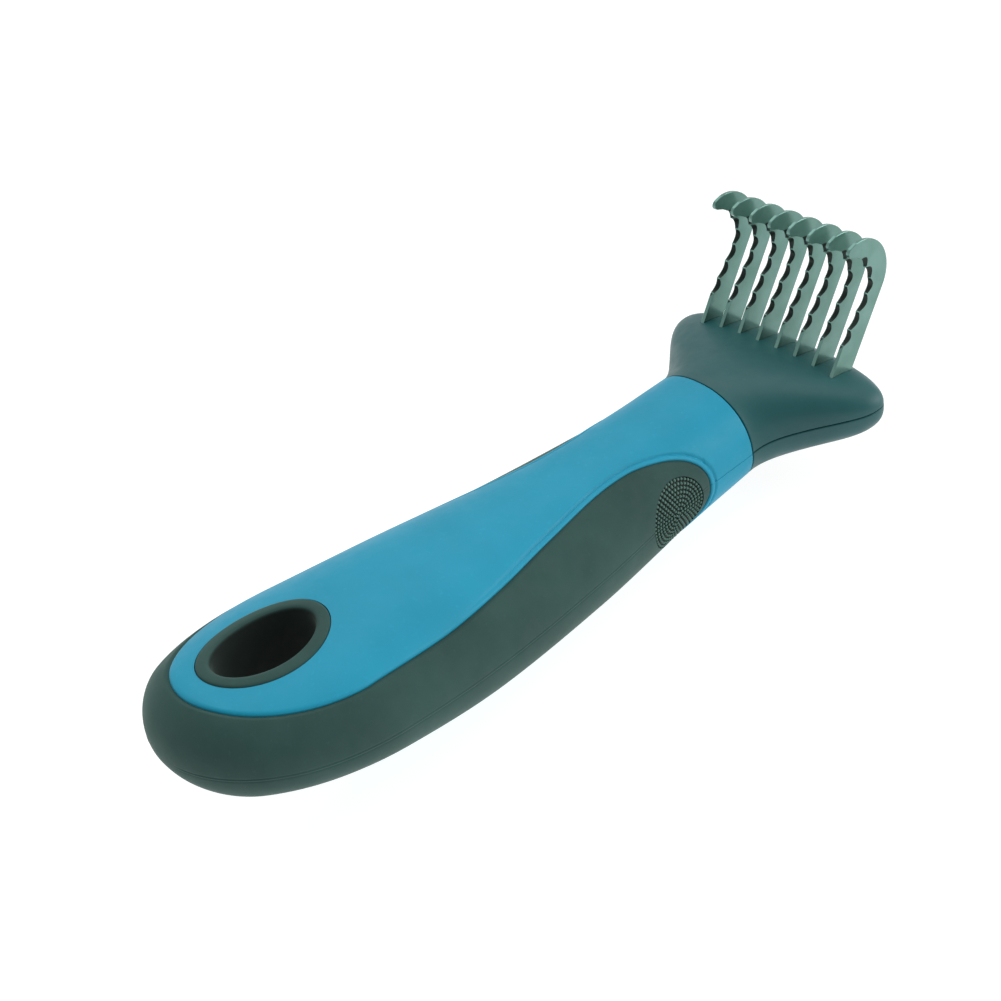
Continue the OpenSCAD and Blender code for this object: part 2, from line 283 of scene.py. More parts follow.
def nearest(points, line):
    """Distance from each point to the nearest point of a dense line."""
    flat = points.reshape(-1, 3)
    found = np.empty(len(flat))
    for i in range(0, len(flat), 2000):
        chunk = flat[i : i + 2000, None, :] - line[None, :, :]
        found[i : i + 2000] = np.sqrt((chunk**2).sum(-1).min(1))
    return found.reshape(points.shape[:-1])


def denser(line, times=8):
    """The same line with more points between its own."""
    t = np.arange(0, len(line) - 1 + 1e-9, 1 / times)
    own = np.arange(len(line))
    return np.stack([np.interp(t, own, line[:, k]) for k in range(3)], -1)


def along_arc(points, stops):
    """Points at the given arc lengths along a fine polyline."""
    run = np.concatenate([[0], np.cumsum(np.linalg.norm(np.diff(points, axis=0), axis=1))])
    return np.stack([np.interp(stops, run, column) for column in points.T], -1)


def arc_length(points):
    """Length of a polyline."""
    return float(np.linalg.norm(np.diff(points, axis=0), axis=1).sum())


def quarter(d, r):
    """Inset of a rounded edge of radius r at distance d from it."""
    share = np.clip(1 - d / r, 0, 1)
    return r * (1 - np.sqrt(np.maximum(1 - share**2, 0)))


def hump(d, middle, spread):
    """1 at the middle, falling off smoothly on both sides."""
    return np.exp(-(((d - middle) / spread) ** 2))


def mirrored_row(half, edge_stops, count):
    """A section from edge to edge: close columns at its edges, and count wider steps to the middle."""
    length = arc_length(half)
    stops = edge_stops * min(1, length / SHORT_ARC)
    stops = np.concatenate([stops, np.linspace(stops[-1], length, count)[1:]])
    right = along_arc(half, stops)
    return np.concatenate([right, right[:-1][::-1] * MIRROR])


# ---------------------------------------------------------------- meshes


def place(points):
    """Design-frame millimetres to metres in the shared frame."""
    return (np.asarray(points, float) - np.array([0, OVERALL_L / 2, 0])) * MM


def quads(index):
    """Four-cornered faces of a grid of vertex numbers."""
    a, b = index[:-1, :-1].ravel(), index[1:, :-1].ravel()
    c, d = index[1:, 1:].ravel(), index[:-1, 1:].ravel()
    return np.stack([a, b, c, d], 1)


def shell_parts(outer, inner):
    """Vertices and faces of a closed shell between two grids of the same size."""
    rows, columns = outer.shape[:2]
    count = rows * columns
    index = np.arange(count).reshape(rows, columns)
    rim = np.concatenate([index[0], index[1:, -1], index[-1, -2::-1], index[-2:0:-1, 0]])
    after = np.roll(rim, -1)
    walls = np.stack([after, after + count, rim + count, rim], 1)
    faces = np.concatenate([quads(index), quads(index + count)[:, ::-1], walls])
    return np.concatenate([outer.reshape(-1, 3), inner.reshape(-1, 3)]), faces.tolist()


def loop_parts(rings):
    """Vertices and faces of a closed tube of rings, with its two ends capped."""
    rows, columns = rings.shape[:2]
    index = np.arange(rows * columns).reshape(rows, columns)
    wrapped = np.concatenate([index, index[:, :1]], 1)
    faces = quads(wrapped).tolist()
    faces += [index[0].tolist(), index[-1, ::-1].tolist()]
    return rings.reshape(-1, 3), faces


def torus_parts(rings):
    """Vertices and faces of rings that close on themselves both ways."""
    rows, columns = rings.shape[:2]
    index = np.arange(rows * columns).reshape(rows, columns)
    wrapped = np.concatenate([index, index[:, :1]], 1)
    wrapped = np.concatenate([wrapped, wrapped[:1]], 0)
    return rings.reshape(-1, 3), quads(wrapped).tolist()


def weld(mesh):
    """Joins vertices that meet, and turns all faces outwards."""
    bm = bmesh.new()
    bm.from_mesh(mesh)
    bmesh.ops.remove_doubles(bm, verts=bm.verts, dist=WELD)
    bmesh.ops.dissolve_degenerate(bm, edges=bm.edges, dist=WELD)
    bmesh.ops.recalc_face_normals(bm, faces=bm.faces)
    bm.to_mesh(mesh)
    bm.free()


def add_mesh(name, parts):
    """Object from vertices in design millimetres and faces."""
    vertices, faces = parts
    mesh = bpy.data.meshes.new(name)
    mesh.from_pydata(place(vertices).tolist(), [], faces)
    weld(mesh)
    piece = bpy.data.objects.new(name, mesh)
    bpy.context.scene.collection.objects.link(piece)
    return piece


def apply_modifiers(piece):
    """Keeps the shape that the modifiers give."""
    scene_state = bpy.context.evaluated_depsgraph_get()
    shaped = bpy.data.meshes.new_from_object(piece.evaluated_get(scene_state))
    old = piece.data
    piece.modifiers.clear()
    piece.data = shaped
    bpy.data.meshes.remove(old)


def split_faces(mesh):
    """Triangulates what a Boolean leaves, and takes out slivers that lie on each other."""
    bm = bmesh.new()
    bm.from_mesh(mesh)
    bmesh.ops.triangulate(bm, faces=bm.faces, quad_method="BEAUTY", ngon_method="BEAUTY")
    twins = {}
    for face in bm.faces:
        twins.setdefault(frozenset(face.verts), []).append(face)
    doubled = [face for faces in twins.values() if len(faces) > 1 for face in faces]
    bmesh.ops.delete(bm, geom=doubled, context="FACES")
    bm.to_mesh(mesh)
    bm.free()


def cut(piece, cutter, operation="DIFFERENCE"):
    """Boolean of piece with cutter, which is then removed."""
    modifier = piece.modifiers.new("cut", "BOOLEAN")
    modifier.operation = operation
    modifier.solver = "MANIFOLD"
    modifier.object = cutter
    apply_modifiers(piece)
    bpy.data.objects.remove(cutter)
    split_faces(piece.data)


def dress(piece, material, nodes=(), sharp=32):
    """Finish of a piece: smooth shading with real edges kept, material, and what it stands for."""
    piece.data.shade_smooth()
    piece.data.set_sharp_from_angle(angle=math.radians(sharp))
    piece.data.materials.clear()
    piece.data.materials.append(material)
    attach(piece, "root")
    if nodes:
        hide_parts(*nodes)


def vertices_of(mesh):
    """A mesh's vertices as x, s and z in design millimetres."""
    x, y, z = (np.array([v.co for v in mesh.vertices], float) / MM).T
    return x, y + OVERALL_L / 2, z


def mark_recess(mesh, values):
    """Says how deep each vertex lies in a recess, from 0 to 1, for the material to darken with painted
    shade.
    """
    recess = mesh.attributes.new("recess", "FLOAT", "POINT")
    recess.data.foreach_set("value", np.asarray(values, np.float32))


def prism(outline, low, high, axis):
    """Ring stack that extrudes a closed outline of two coordinates along x (0) or z (2)."""
    rings = []
    for level in (low, high):
        ring = np.insert(np.asarray(outline, float), axis, level, axis=1)
        rings.append(ring)
    return loop_parts(np.array(rings))


def merged(parts_list):
    """Several sets of vertices and faces as one."""
    vertices, faces, offset = [], [], 0
    for v, f in parts_list:
        vertices.append(v)
        faces += [[i + offset for i in face] for face in f]
        offset += len(v)
    return np.concatenate(vertices), faces


# ---------------------------------------------------------------- materials


class Nodes:
    """Short names for building one procedural material."""

    def __init__(self, name):
        self.material = bpy.data.materials.new(name)
        self.material.use_nodes = True
        self.tree = self.material.node_tree
        self.shader = self.tree.nodes["Principled BSDF"]
        self.coordinates = self.tree.nodes.new("ShaderNodeTexCoord").outputs["Object"]

    def add(self, kind, inputs=(), **settings):
        """New node with settings, each input given a value or a socket to follow."""
        node = self.tree.nodes.new(kind)
        for key, value in settings.items():
            setattr(node, key, value)
        for key, value in dict(inputs).items():
            if isinstance(value, bpy.types.NodeSocket):
                self.tree.links.new(value, node.inputs[key])
            else:
                node.inputs[key].default_value = value
        return node

    def stretched(self, rotation, scale):
        """Object coordinates turned and scaled."""
        inputs = {"Vector": self.coordinates, "Rotation": rotation, "Scale": scale}
        return self.add("ShaderNodeMapping", inputs).outputs["Vector"]

    def noise(self, size, detail, vector=None):
        """Noise whose features are about size millimetres across."""
        inputs = {"Vector": vector or self.coordinates, "Scale": 1 / (size * MM), "Detail": detail}
        return self.add("ShaderNodeTexNoise", inputs).outputs["Fac"]

    def remap(self, value, low, high, to_low, to_high):
        """The range from low to high stretched to another, and clamped to it."""
        inputs = {"Value": value, "From Min": low, "From Max": high, "To Min": to_low, "To Max": to_high}
        return self.add("ShaderNodeMapRange", inputs).outputs["Result"]

    def mix(self, factor, first, second):
        """Colour between first and second."""
        node = self.add("ShaderNodeMix", data_type="RGBA")
        for key, value in ((0, factor), (6, first), (7, second)):
            if isinstance(value, bpy.types.NodeSocket):
                self.tree.links.new(value, node.inputs[key])
            else:
                node.inputs[key].default_value = value
        return node.outputs[2]

    def bump(self, height, depth, strength, normal=None):
        """Bump of a height texture that spans depth millimetres."""
        inputs = {"Height": height, "Distance": depth * MM, "Strength": strength}
        if normal is not None:
            inputs["Normal"] = normal
        return self.add("ShaderNodeBump", inputs).outputs["Normal"]

    def link(self, socket, key):
        self.tree.links.new(socket, self.shader.inputs[key])

    def set(self, **values):
        for key, value in values.items():
            self.shader.inputs[key.replace("_", " ")].default_value = value


def rgb(red, green, blue):
    """sRGB 0-255 as a linear colour."""
    linear = []
    for share in (red / 255, green / 255, blue / 255):
        linear.append(share / 12.92 if share <= 0.04045 else ((share + 0.055) / 1.055) ** 2.4)
    return (*linear, 1)


def moulded(name, colour, shade, grain, depth, rough, rough_span, recess_shade=None, **constants):
    """Moulded plastic or rubber: soft colour drift, fine grain in millimetres, and uneven gloss.

    Given a shade colour, the low places that the mesh marks as recess take it as painted shade.
    """
    m = Nodes(name)
    drift = m.remap(m.noise(14, 4), 0.35, 0.65, 0, 1)
    body = m.mix(drift, colour, shade)
    speck = m.remap(m.noise(0.9, 2), 0.62, 0.72, 0, 0.22)
    lighter = tuple(min(1, c * 1.25) for c in colour[:3]) + (1,)
    body = m.mix(speck, body, lighter)
    if recess_shade is not None:
        # Painted shade: marked recesses darken towards the shade colour, standing in for the light they
        # miss.
        low = m.add("ShaderNodeAttribute", attribute_name="recess").outputs["Fac"]
        body = m.mix(m.remap(low, 0.25, 0.95, 0, 1), body, recess_shade)
    m.link(body, "Base Color")
    gloss = m.remap(m.noise(3, 5), 0.3, 0.7, rough - rough_span, rough + rough_span)
    m.link(gloss, "Roughness")
    coarse = m.bump(m.noise(grain * 4, 3), depth * 1.4, 0.35)
    m.link(m.bump(m.noise(grain, 4), depth, 0.8, coarse), "Normal")
    m.set(**constants)
    return m.material


def steel(name, colour, dark, rotation, rough, ground=None, metal=1.0):
    """Satin steel: fine grinding lines along the blade, faint cross scratches and clouded gloss.

    Given a shade colour, the bevel that the mesh marks takes it as painted shade, standing in for the dark
    neighbouring blades that the bevel reflects, and is rougher.
    """
    m = Nodes(name)
    lines = m.noise(0.25, 4, m.stretched(rotation, (1, 0.03, 1)))
    scratches = m.noise(0.12, 2, m.stretched((rotation[0] + 0.6, 0.2, 0), (1, 0.02, 1)))
    cloud = m.noise(5, 4)
    body = m.mix(m.remap(cloud, 0.35, 0.65, 0, 1), colour, dark)
    gloss = m.remap(lines, 0.3, 0.7, rough - 0.04, rough + 0.06)
    if ground is not None:
        # Painted shade on the marked bevel, for the dark neighbouring blades that it reflects.
        bevel = m.add("ShaderNodeAttribute", attribute_name="ground").outputs["Fac"]
        body = m.mix(bevel, body, ground)
        gloss = m.remap(bevel, 0, 1, gloss, 0.42)
    m.link(body, "Base Color")
    m.link(gloss, "Roughness")
    first = m.bump(lines, 0.004, 0.5)
    m.link(m.bump(m.remap(scratches, 0.6, 0.75, 0, 1), 0.003, 0.4, first), "Normal")
    m.set(Metallic=metal)
    return m.material


blue = moulded(
    "blue_plastic",
    rgb(16, 145, 176),
    rgb(14, 140, 170),
    grain=0.22,
    depth=0.010,
    rough=0.5,
    rough_span=0.05,
    Specular_IOR_Level=0.3,
    IOR=1.49,
)
rubber = moulded(
    "soft_grip",
    rgb(43, 74, 70),
    rgb(38, 67, 63),
    grain=0.3,
    depth=0.014,
    rough=0.74,
    rough_span=0.06,
    # Painted shade for the hang hole's bore, where the liner marks it as recess.
    recess_shade=rgb(12, 24, 22),
    Specular_IOR_Level=0.25,
    Sheen_Weight=0.12,
    Sheen_Roughness=0.5,
    Sheen_Tint=(0.75, 1, 0.85, 1),
)
grey = moulded(
    "grey_plastic",
    rgb(28, 86, 88),
    rgb(24, 80, 82),
    grain=0.26,
    depth=0.010,
    rough=0.46,
    rough_span=0.06,
    Specular_IOR_Level=0.4,
    IOR=1.5,
)
blade_steel = steel(
    "blade_steel",
    rgb(110, 148, 139),
    rgb(96, 135, 125),
    rotation=(LEAN_ANGLE, 0, 0),
    rough=0.2,
    # Painted shade of the scallops' bevel, standing in for the dark neighbouring blades that it reflects.
    ground=rgb(38, 48, 45),
    metal=0.6,
)
rod_steel = steel("rod_steel", rgb(150, 156, 156), rgb(130, 136, 136), (0, 0, math.pi / 2), 0.28)
screw_steel = steel("screw_steel", rgb(110, 118, 118), rgb(90, 98, 98), (0, 0, 0), 0.35)
nylon = moulded(
    "spacer_nylon",
    rgb(196, 198, 190),
    rgb(184, 187, 178),
    grain=0.3,
    depth=0.008,
    rough=0.5,
    rough_span=0.06,
    Specular_IOR_Level=0.4,
)
pad_rubber = moulded(
    "soft_grip_pad",
    rgb(92, 126, 116),
    rgb(84, 118, 108),
    grain=0.3,
    depth=0.010,
    rough=0.66,
    rough_span=0.06,
    # Painted shade for the thumb patch's floor between the bumps.
    recess_shade=rgb(6, 20, 18),
    Specular_IOR_Level=0.3,
)


# ---------------------------------------------------------------- handle

NOSE_S = INLAY_S[-1]


def inlay_half(s):
    """Half width of the blue inlay at s, as far as the nose."""
    end = INLAY_WIDEST - INLAY_END
    oval = INLAY_W[0] * np.sqrt(np.clip(1 - ((INLAY_WIDEST - s) / end) ** 2, 0, 1))
    return np.where(s < INLAY_WIDEST, oval, curve(INLAY_S, INLAY_W, s))


def border_angle(s):
    """Section angle of the border between the blue inlay and the grip at s."""
    width = handle_form(s)[0]
    share = np.clip(inlay_half(s) / np.maximum(width, 1e-9), 0, 1)
    return np.where(s >= NOSE_S, 0.0, np.arccos(share ** (SECTION_POWER / 2)))


def nose_s():
    """Where the border reaches the seam."""
    s = np.linspace(110, NOSE_S, 2000)
    reached = inlay_half(s) >= handle_form(s)[0]
    return float(s[reached][0])


GRIP_END = nose_s()


def blue_border(d, s):
    """Inset of the blue plastic at distance d from the grip: plain and round, or creased near the nose."""
    crease = smooth(CREASE_FROM, CREASE_FULL, s)
    plain = quarter(d, 0.9) * 0.8
    lip = 0.8 * quarter(d, 0.4) - 0.1 * hump(d, 0.5, 0.25)
    groove = 0.3 * hump(d, 1.15, 0.3)
    return (1 - crease) * plain + crease * (lip + groove)


def grip_border(d, s):
    """Inset of the grip at distance d from the blue plastic."""
    nose = smooth(FLAT_FROM, FLAT_FULL, s)
    return (0.5 - 0.25 * nose) * (1 - smooth(0, 0.8, d)) + nose * 0.15 * (1 - smooth(0.2, 4.5, d))


def blue_rows():
    """Places of the blue halves' sections, closest at the butt, the nose and the collar's end."""
    butt = INLAY_WIDEST - (INLAY_WIDEST - INLAY_END) * np.cos(np.linspace(0, math.pi / 2, 44))
    middle = np.linspace(INLAY_WIDEST, GRIP_END - 8, 70)[1:]
    near = GRIP_END - 8 * (1 - np.linspace(0, 1, 40)[1:]) ** 1.6
    beyond = np.concatenate([np.arange(0.12, 2.7, 0.12), np.linspace(2.9, COLLAR_S - 0.8 - GRIP_END, 14)])
    beyond = GRIP_END + beyond
    end = COLLAR_S - COLLAR_PLAY - np.array([0.6, 0.42, 0.28, 0.16, 0.07, 0])
    return np.concatenate([butt, middle, near, beyond, end])


def section_half(s, side, start):
    """Fine polyline of the section at s, from the border angle to the middle."""
    t = np.linspace(0, 1, 240) ** 1.5
    return on_form(handle_form, s, side * (start + (math.pi / 2 - start) * t))


def seam_bead(d):
    """Inset at distance d from the seam of the collar's two halves: rounded, with a fine raised bead."""
    return quarter(d, 0.12) - 0.07 * hump(d, 0.24, 0.12)


def blue_half(name, side, node):
    """Front (side 1) or rear (side -1) half of the rigid handle that shows between the grip's edges."""
    rows = [section_half(s, side, float(border_angle(s))) for s in blue_rows()]
    grid = np.array([mirrored_row(row, EDGE_STOPS, 20) for row in rows])
    s = grid[..., 1]
    border = grid[:, 0]
    line = denser(border[border[:, 1] <= GRIP_END + 1e-6])
    inset = blue_border(nearest(grid, np.concatenate([line, line * MIRROR])), s)
    seam_d = np.linalg.norm(grid - grid[:, :1], axis=-1)
    seam_d = np.minimum(seam_d, np.linalg.norm(grid - grid[:, -1:], axis=-1))
    inset = inset + np.where(s >= GRIP_END - 1e-6, seam_bead(seam_d), 0)
    inset = np.maximum(inset, quarter(COLLAR_S - COLLAR_PLAY - s, 0.3))
    normals = outward(handle_form, grid)
    outer = grid - inset[..., None] * normals
    outer[..., 2] = np.maximum(outer[..., 2], 0.0)
    inner = grid - BLUE_WALL * normals
    inner[..., 2] = np.maximum(inner[..., 2], INSIDE_Z)
    piece = add_mesh(name, shell_parts(outer, inner))
    cut(piece, add_mesh("cutter", prism(oval_outline(LINER_T, 144), -5, 45, 2)))
    dress(piece, blue, [node])


def oval_outline(grow, count):
    """Plan outline of the hang hole, made larger by grow."""
    a = np.linspace(0, 2 * math.pi, count, endpoint=False)
    return np.stack([(HANG_W / 2 + grow) * np.cos(a), HANG_S + (HANG_L / 2 + grow) * np.sin(a)], -1)


def grip_path():
    """Plan points of the inlay's border and of the handle's outline, from the right nose to the butt."""
    near = GRIP_END - 9 * np.linspace(0, 1, 34) ** 1.7
    side = np.linspace(GRIP_END - 9, INLAY_WIDEST, 84)[1:]
    s = np.concatenate([near, side])
    along = np.stack([np.minimum(inlay_half(s), handle_form(s)[0]), s], -1)
    shift = 3 * (1 - smooth(INLAY_WIDEST, 62, s))
    s_out = s + shift
    out = np.stack([handle_form(s_out)[0], s_out], -1)
    a = np.linspace(0, -math.pi / 2, 56)[1:]
    butt = np.stack([INLAY_W[0] * np.cos(a), INLAY_WIDEST + (INLAY_WIDEST - INLAY_END) * np.sin(a)], -1)
    s_butt = BUTT_PLAN_R + (BUTT_PLAN_R - START) * np.sin(a)
    butt_out = np.stack([handle_form(s_butt)[0], s_butt], -1)
    return np.concatenate([along, butt]), np.concatenate([out, butt_out])


def grip_half_row(border, outline, side):
    """One row of the grip, from the border to the equator, on the front (1) or back (-1)."""
    q = (1 - np.cos(np.linspace(0, 1.45, 260))) / (1 - math.cos(1.45))
    plan = outline + (border - outline) * q[:, None]
    fine = over_plan(handle_form, plan[:, 0], plan[:, 1], side)
    length = arc_length(fine)
    scale = min(1, length / SHORT_ARC)
    seam = SEAM_STOPS * scale
    edge = length - EDGE_STOPS[::-1] * scale
    stops = np.concatenate([seam, np.linspace(seam[-1], edge[0], 18)[1:-1], edge])
    return along_arc(fine, stops)


def grip_grid():
    """Rows across the whole band, from one nose round the butt to the other."""
    borders, outlines = grip_path()
    rows = []
    for border, outline in zip(borders, outlines):
        front = grip_half_row(border, outline, 1)[::-1]
        back = grip_half_row(border, outline, -1)[1:]
        rows.append(np.concatenate([front, back]))
    right = np.array(rows)
    right[-1, :, 0] = 0
    left = right[:-1][::-1] * MIRROR
    return np.concatenate([right, left])


def patch_centre_z():
    """Height of the middle of a thumb patch."""
    return float(curve(STATION_S, STATION_SEAM, PATCH_S)) - PATCH_DROP


def grip():
    """Soft band round the butt and both sides, with a fine flash line and the thumb patches' recesses."""
    grid = grip_grid()
    line = denser(np.concatenate([grid[:, 0], grid[::-1, -1]]), 6)
    d = nearest(grid, line)
    middle = grid.shape[1] // 2
    seam_d = np.linalg.norm(grid - grid[:, middle : middle + 1], axis=-1)
    inset = grip_border(d, grid[..., 1])
    flash = 0.06 * hump(seam_d, 0.3, 0.13) - 0.05 * hump(seam_d, 0, 0.12)
    inset = inset + flash * smooth(0.3, 2, d) * smooth(0.1, 1.2, grid[..., 1])
    normals = outward(handle_form, grid)
    outer = grid - inset[..., None] * normals
    outer[..., 2] = np.maximum(outer[..., 2], 0.0)
    inner = grid - GRIP_WALL * normals
    piece = add_mesh("grip_overmold_soft", shell_parts(outer, inner))
    ring = circle(PATCH_R, (PATCH_S, patch_centre_z()), 120)
    both = [prism(ring, low, high, 0) for low, high in ((7, 20), (-20, -7))]
    cut(piece, add_mesh("cutter", merged(both)))
    dress(piece, rubber, ["grip_overmold"])


def dot_height(radius, angle):
    """Height of the thumb patch's rings of small bumps."""
    ring = np.clip(np.round((radius - DOT_START) / DOT_PITCH), 0, DOT_RINGS - 1)
    ring_r = DOT_START + ring * DOT_PITCH
    count = np.maximum(4, np.round(2 * math.pi * ring_r / DOT_SPACING))
    turn = angle * count / (2 * math.pi)
    across = (radius - ring_r) / DOT_R
    around = (turn - np.round(turn)) * (2 * math.pi * ring_r / count) / DOT_R
    return np.sqrt(np.maximum(1 - across**2 - around**2, 0))


def thumb_pad(name, side):
    """Textured floor of the recessed thumb patch on one side."""
    radii = np.linspace(0.02, PATCH_R - 0.02, 104)
    angles = np.linspace(0, 2 * math.pi, 480, endpoint=False)
    r, a = np.meshgrid(radii, angles, indexing="ij")
    s = PATCH_S + r * np.cos(a)
    z = patch_centre_z() + r * np.sin(a)
    width, seam, up, down, _ = handle_form(s)
    dz = z - seam
    share = np.clip(np.abs(dz) / np.where(dz > 0, up, down), 0, 1) ** SECTION_POWER
    x = width * (1 - share) ** (1 / SECTION_POWER)
    grid = np.stack([x, s, z], -1)
    normals = outward(handle_form, grid)
    outer, inner = grid.copy(), grid.copy()
    outer[..., 0] += (PAD_DEPTH + DOT_H * dot_height(r, a)) * normals[..., 0]
    inner[..., 0] -= PAD_WALL
    rings = np.concatenate([outer, inner[::-1]]) * [side, 1, 1]
    piece = add_mesh(name, loop_parts(rings))
    _, s, z = vertices_of(piece.data)
    ds, dz = s - PATCH_S, z - patch_centre_z()
    # Painted shade on the patch floor between the bumps, none on their tops.
    mark_recess(piece.data, 1 - dot_height(np.hypot(ds, dz), np.arctan2(dz, ds) % (2 * math.pi)))
    dress(piece, pad_rubber, sharp=60)


def liner():
    """Soft eyelet of the hang hole, with a rounded flange on both faces."""
    flange = [
        (2.68, -1.6), (2.68, -0.5), (2.66, -0.1), (2.58, 0.1), (2.42, 0.22), (2.2, 0.27), (1.9, 0.29),
        (1.5, 0.29), (1.1, 0.28), (0.8, 0.24), (0.58, 0.16), (0.4, 0.04), (0.25, -0.12), (0.13, -0.34),
        (0.04, -0.65), (0, -1.1),
    ]
    rings = [liner_ring(grow, rise, 1) for grow, rise in flange]
    front, back = rings[-1], liner_ring(0, -1.5, -1)
    rings += [front + (back - front) * t for t in np.linspace(0, 1, 14)[1:-1]]
    rings += [liner_ring(grow, rise, -1) for grow, rise in flange[::-1]]
    piece = add_mesh("hang_liner_soft", torus_parts(np.array(rings)))
    x, s, _ = vertices_of(piece.data)
    spread = np.hypot(x / (HANG_W / 2), (s - HANG_S) / (HANG_L / 2))
    # Painted shade down the bore of the hang hole.
    mark_recess(piece.data, smooth(1.07, 1.0, spread))
    dress(piece, rubber, ["hang_liner"], sharp=50)


def liner_ring(grow, rise, side):
    """Ring outside the hang hole by grow, and above the handle's face by rise."""
    plan = oval_outline(grow, LINER_COUNT)
    ring = over_plan(handle_form, plan[:, 0], plan[:, 1], side)
    ring[:, 2] += side * rise
    return ring


# ---------------------------------------------------------------- head


def head_rows():
    """Places of the head's sections, closest at the collar and at the blade end."""
    collar = COLLAR_S + COLLAR_PLAY + np.array([0, 0.07, 0.16, 0.28, 0.42, 0.6])
    middle = np.linspace(COLLAR_S + 0.8, HEAD_END_S - 8, 44)
    end = HEAD_END_S - 8 * (1 - np.linspace(0, 1, 44)[1:]) ** 2.2
    return np.concatenate([collar, middle, end])


def head_half(name, side, node):
    """Front (side 1) or rear (side -1) shell of the head, with a dark parting line between them."""
    angles = side * math.pi / 2 * np.linspace(0, 1, 240) ** 1.5
    rows = [mirrored_row(on_form(head_form, s, angles), SEAM_STOPS, 40) for s in head_rows()]
    grid = np.array(rows)
    line = denser(np.concatenate([grid[:, 0], grid[::-1, -1]]), 4)
    d = nearest(grid, line)
    inset = np.maximum(quarter(d, 0.3), quarter(grid[..., 1] - COLLAR_S - COLLAR_PLAY, 0.2))
    normals = outward(head_form, grid)
    outer = grid - inset[..., None] * normals
    inner = grid - HEAD_WALL * normals
    for layer in (outer, inner):
        layer[..., 2] += side * PART_GAP * (1 - smooth(0, 2.5, d))
    piece = add_mesh(name, shell_parts(outer, inner))
    if side > 0:
        cut(piece, slot_cutter())
    else:
        cut(piece, boss_tubes(), "UNION")
        cut(piece, screw_cutter())
    dress(piece, grey, [node])


def tang_outline(top, grow, bottom):
    """Straight part of a blade, between two distances below the hook, in the blade's plane."""
    return [
        back_point(bottom + grow) + grow * SQUARE,
        back_point(top) + grow * SQUARE,
        edge_point(top) - grow * SQUARE,
        edge_point(bottom + grow) - grow * SQUARE,
    ]


def in_blade_plane(points):
    """Points about the hook's middle as (s, z)."""
    return np.asarray(points) + [HOOK_S, HOOK_Z]


def blade_x(i):
    """Place across of blade i, counted from 1 at the left."""
    return (i - (BLADE_COUNT + 1) / 2) * BLADE_PITCH


def slot_cutter():
    """Eight slots in the front shell for the blades' tangs."""
    outline = in_blade_plane(tang_outline(10, 0.12, 26))
    half = BLADE_T / 2 + 0.08
    parts = [prism(outline, blade_x(i) - half, blade_x(i) + half, 0) for i in range(1, BLADE_COUNT + 1)]
    return add_mesh("cutter", merged(parts))


def circle(radius, at, count=48):
    """Points round a circle in a plane."""
    a = np.linspace(0, 2 * math.pi, count, endpoint=False)
    return np.stack([at[0] + radius * np.cos(a), at[1] + radius * np.sin(a)], -1)


def screw_seat(screw):
    """Height of the underside of a screw's head."""
    across, along = screw
    return float(curve(HEAD_S, HEAD_SEAM, along)) - (WING_SEAT if across else TENON_SEAT)


def boss_tubes():
    """Posts behind the screws' seats, which stay inside the rear shell."""
    parts = []
    for screw in SCREWS:
        rim = circle(BOSS_R, screw)
        back = over_plan(head_form, rim[:, 0], rim[:, 1], -1)[:, 2].max()
        parts.append(prism(rim, back + 0.4, screw_seat(screw) + 1.2, 2))
    return add_mesh("bosses", merged(parts))


def screw_cutter():
    """Holes that the screws' heads sit in."""
    parts = [prism(circle(SCREW_HOLE_R, screw), -5, screw_seat(screw), 2) for screw in SCREWS]
    return add_mesh("cutter", merged(parts))


# ---------------------------------------------------------------- blades


def back_point(d):
    """Point on the line of the blade's back, measured down from the hook."""
    return HOOK_R * SQUARE - np.multiply.outer(np.asarray(d, float), LEAN)


def edge_point(d):
    """Point on the straight part of the inner edge, measured down from the hook."""
    return SHANK_EDGE * SQUARE - np.multiply.outer(np.asarray(d, float), LEAN)


def back_of(point):
    """Point of the blade's back that faces a point of its inner edge."""
    d = -float(point @ LEAN)
    if d > 0:
        return back_point(d)
    a = math.atan2(point[1], point[0])
    return HOOK_R * np.array([math.cos(a), math.sin(a)])


def inward(upper, lower):
    """Unit vector from the line between two teeth into the blade."""
    run = np.subtract(lower, upper)
    return np.array([-run[1], run[0]]) / np.linalg.norm(run)


def scallop(upper, lower, t, depth):
    """Point of the scallop between two teeth, with t 0 at the upper one, and deepest nearer to it."""
    run = np.subtract(lower, upper)
    return upper + run * t + inward(upper, lower) * depth * math.sin(math.pi * t**0.8)


def arc(middle, radius, angles):
    """Points at the given angles round a middle."""
    return [middle + radius * np.array([math.cos(a), math.sin(a)]) for a in angles]


def resampled(points, count):
    """A polyline's points at even arc lengths."""
    points = np.array(points)
    return along_arc(points, np.linspace(0, arc_length(points), count))


# A row of a blade is (its edge on the far face, its edge on the ground face, its back)


def shank_rows():
    """Rows from the end of the tang to the lowest tooth."""
    lowest = np.array(TEETH[-1])
    foot = -float(lowest @ LEAN)
    rows = []
    for d in np.linspace(TANG_END, foot, 24)[:-1]:
        blend = float(smooth(4, 0, d - foot))
        edge = edge_point(d) + blend * (lowest - edge_point(foot))
        rows.append((edge, edge + BEVEL * SQUARE, back_point(d)))
    return rows


def tooth_rows():
    """Rows over the scallops, from the lowest tooth to the uppermost."""
    rising = TEETH[::-1]
    rows = []
    for lower, upper in zip(rising, rising[1:]):
        for t in np.linspace(1, 0, 22):
            edge = scallop(upper, lower, t, SCALLOP_DEPTH)
            bevel = scallop(upper, lower, t, GRIND_DEPTH) + BEVEL * inward(upper, lower)
            rows.append((edge, bevel, back_of(edge)))
    return rows


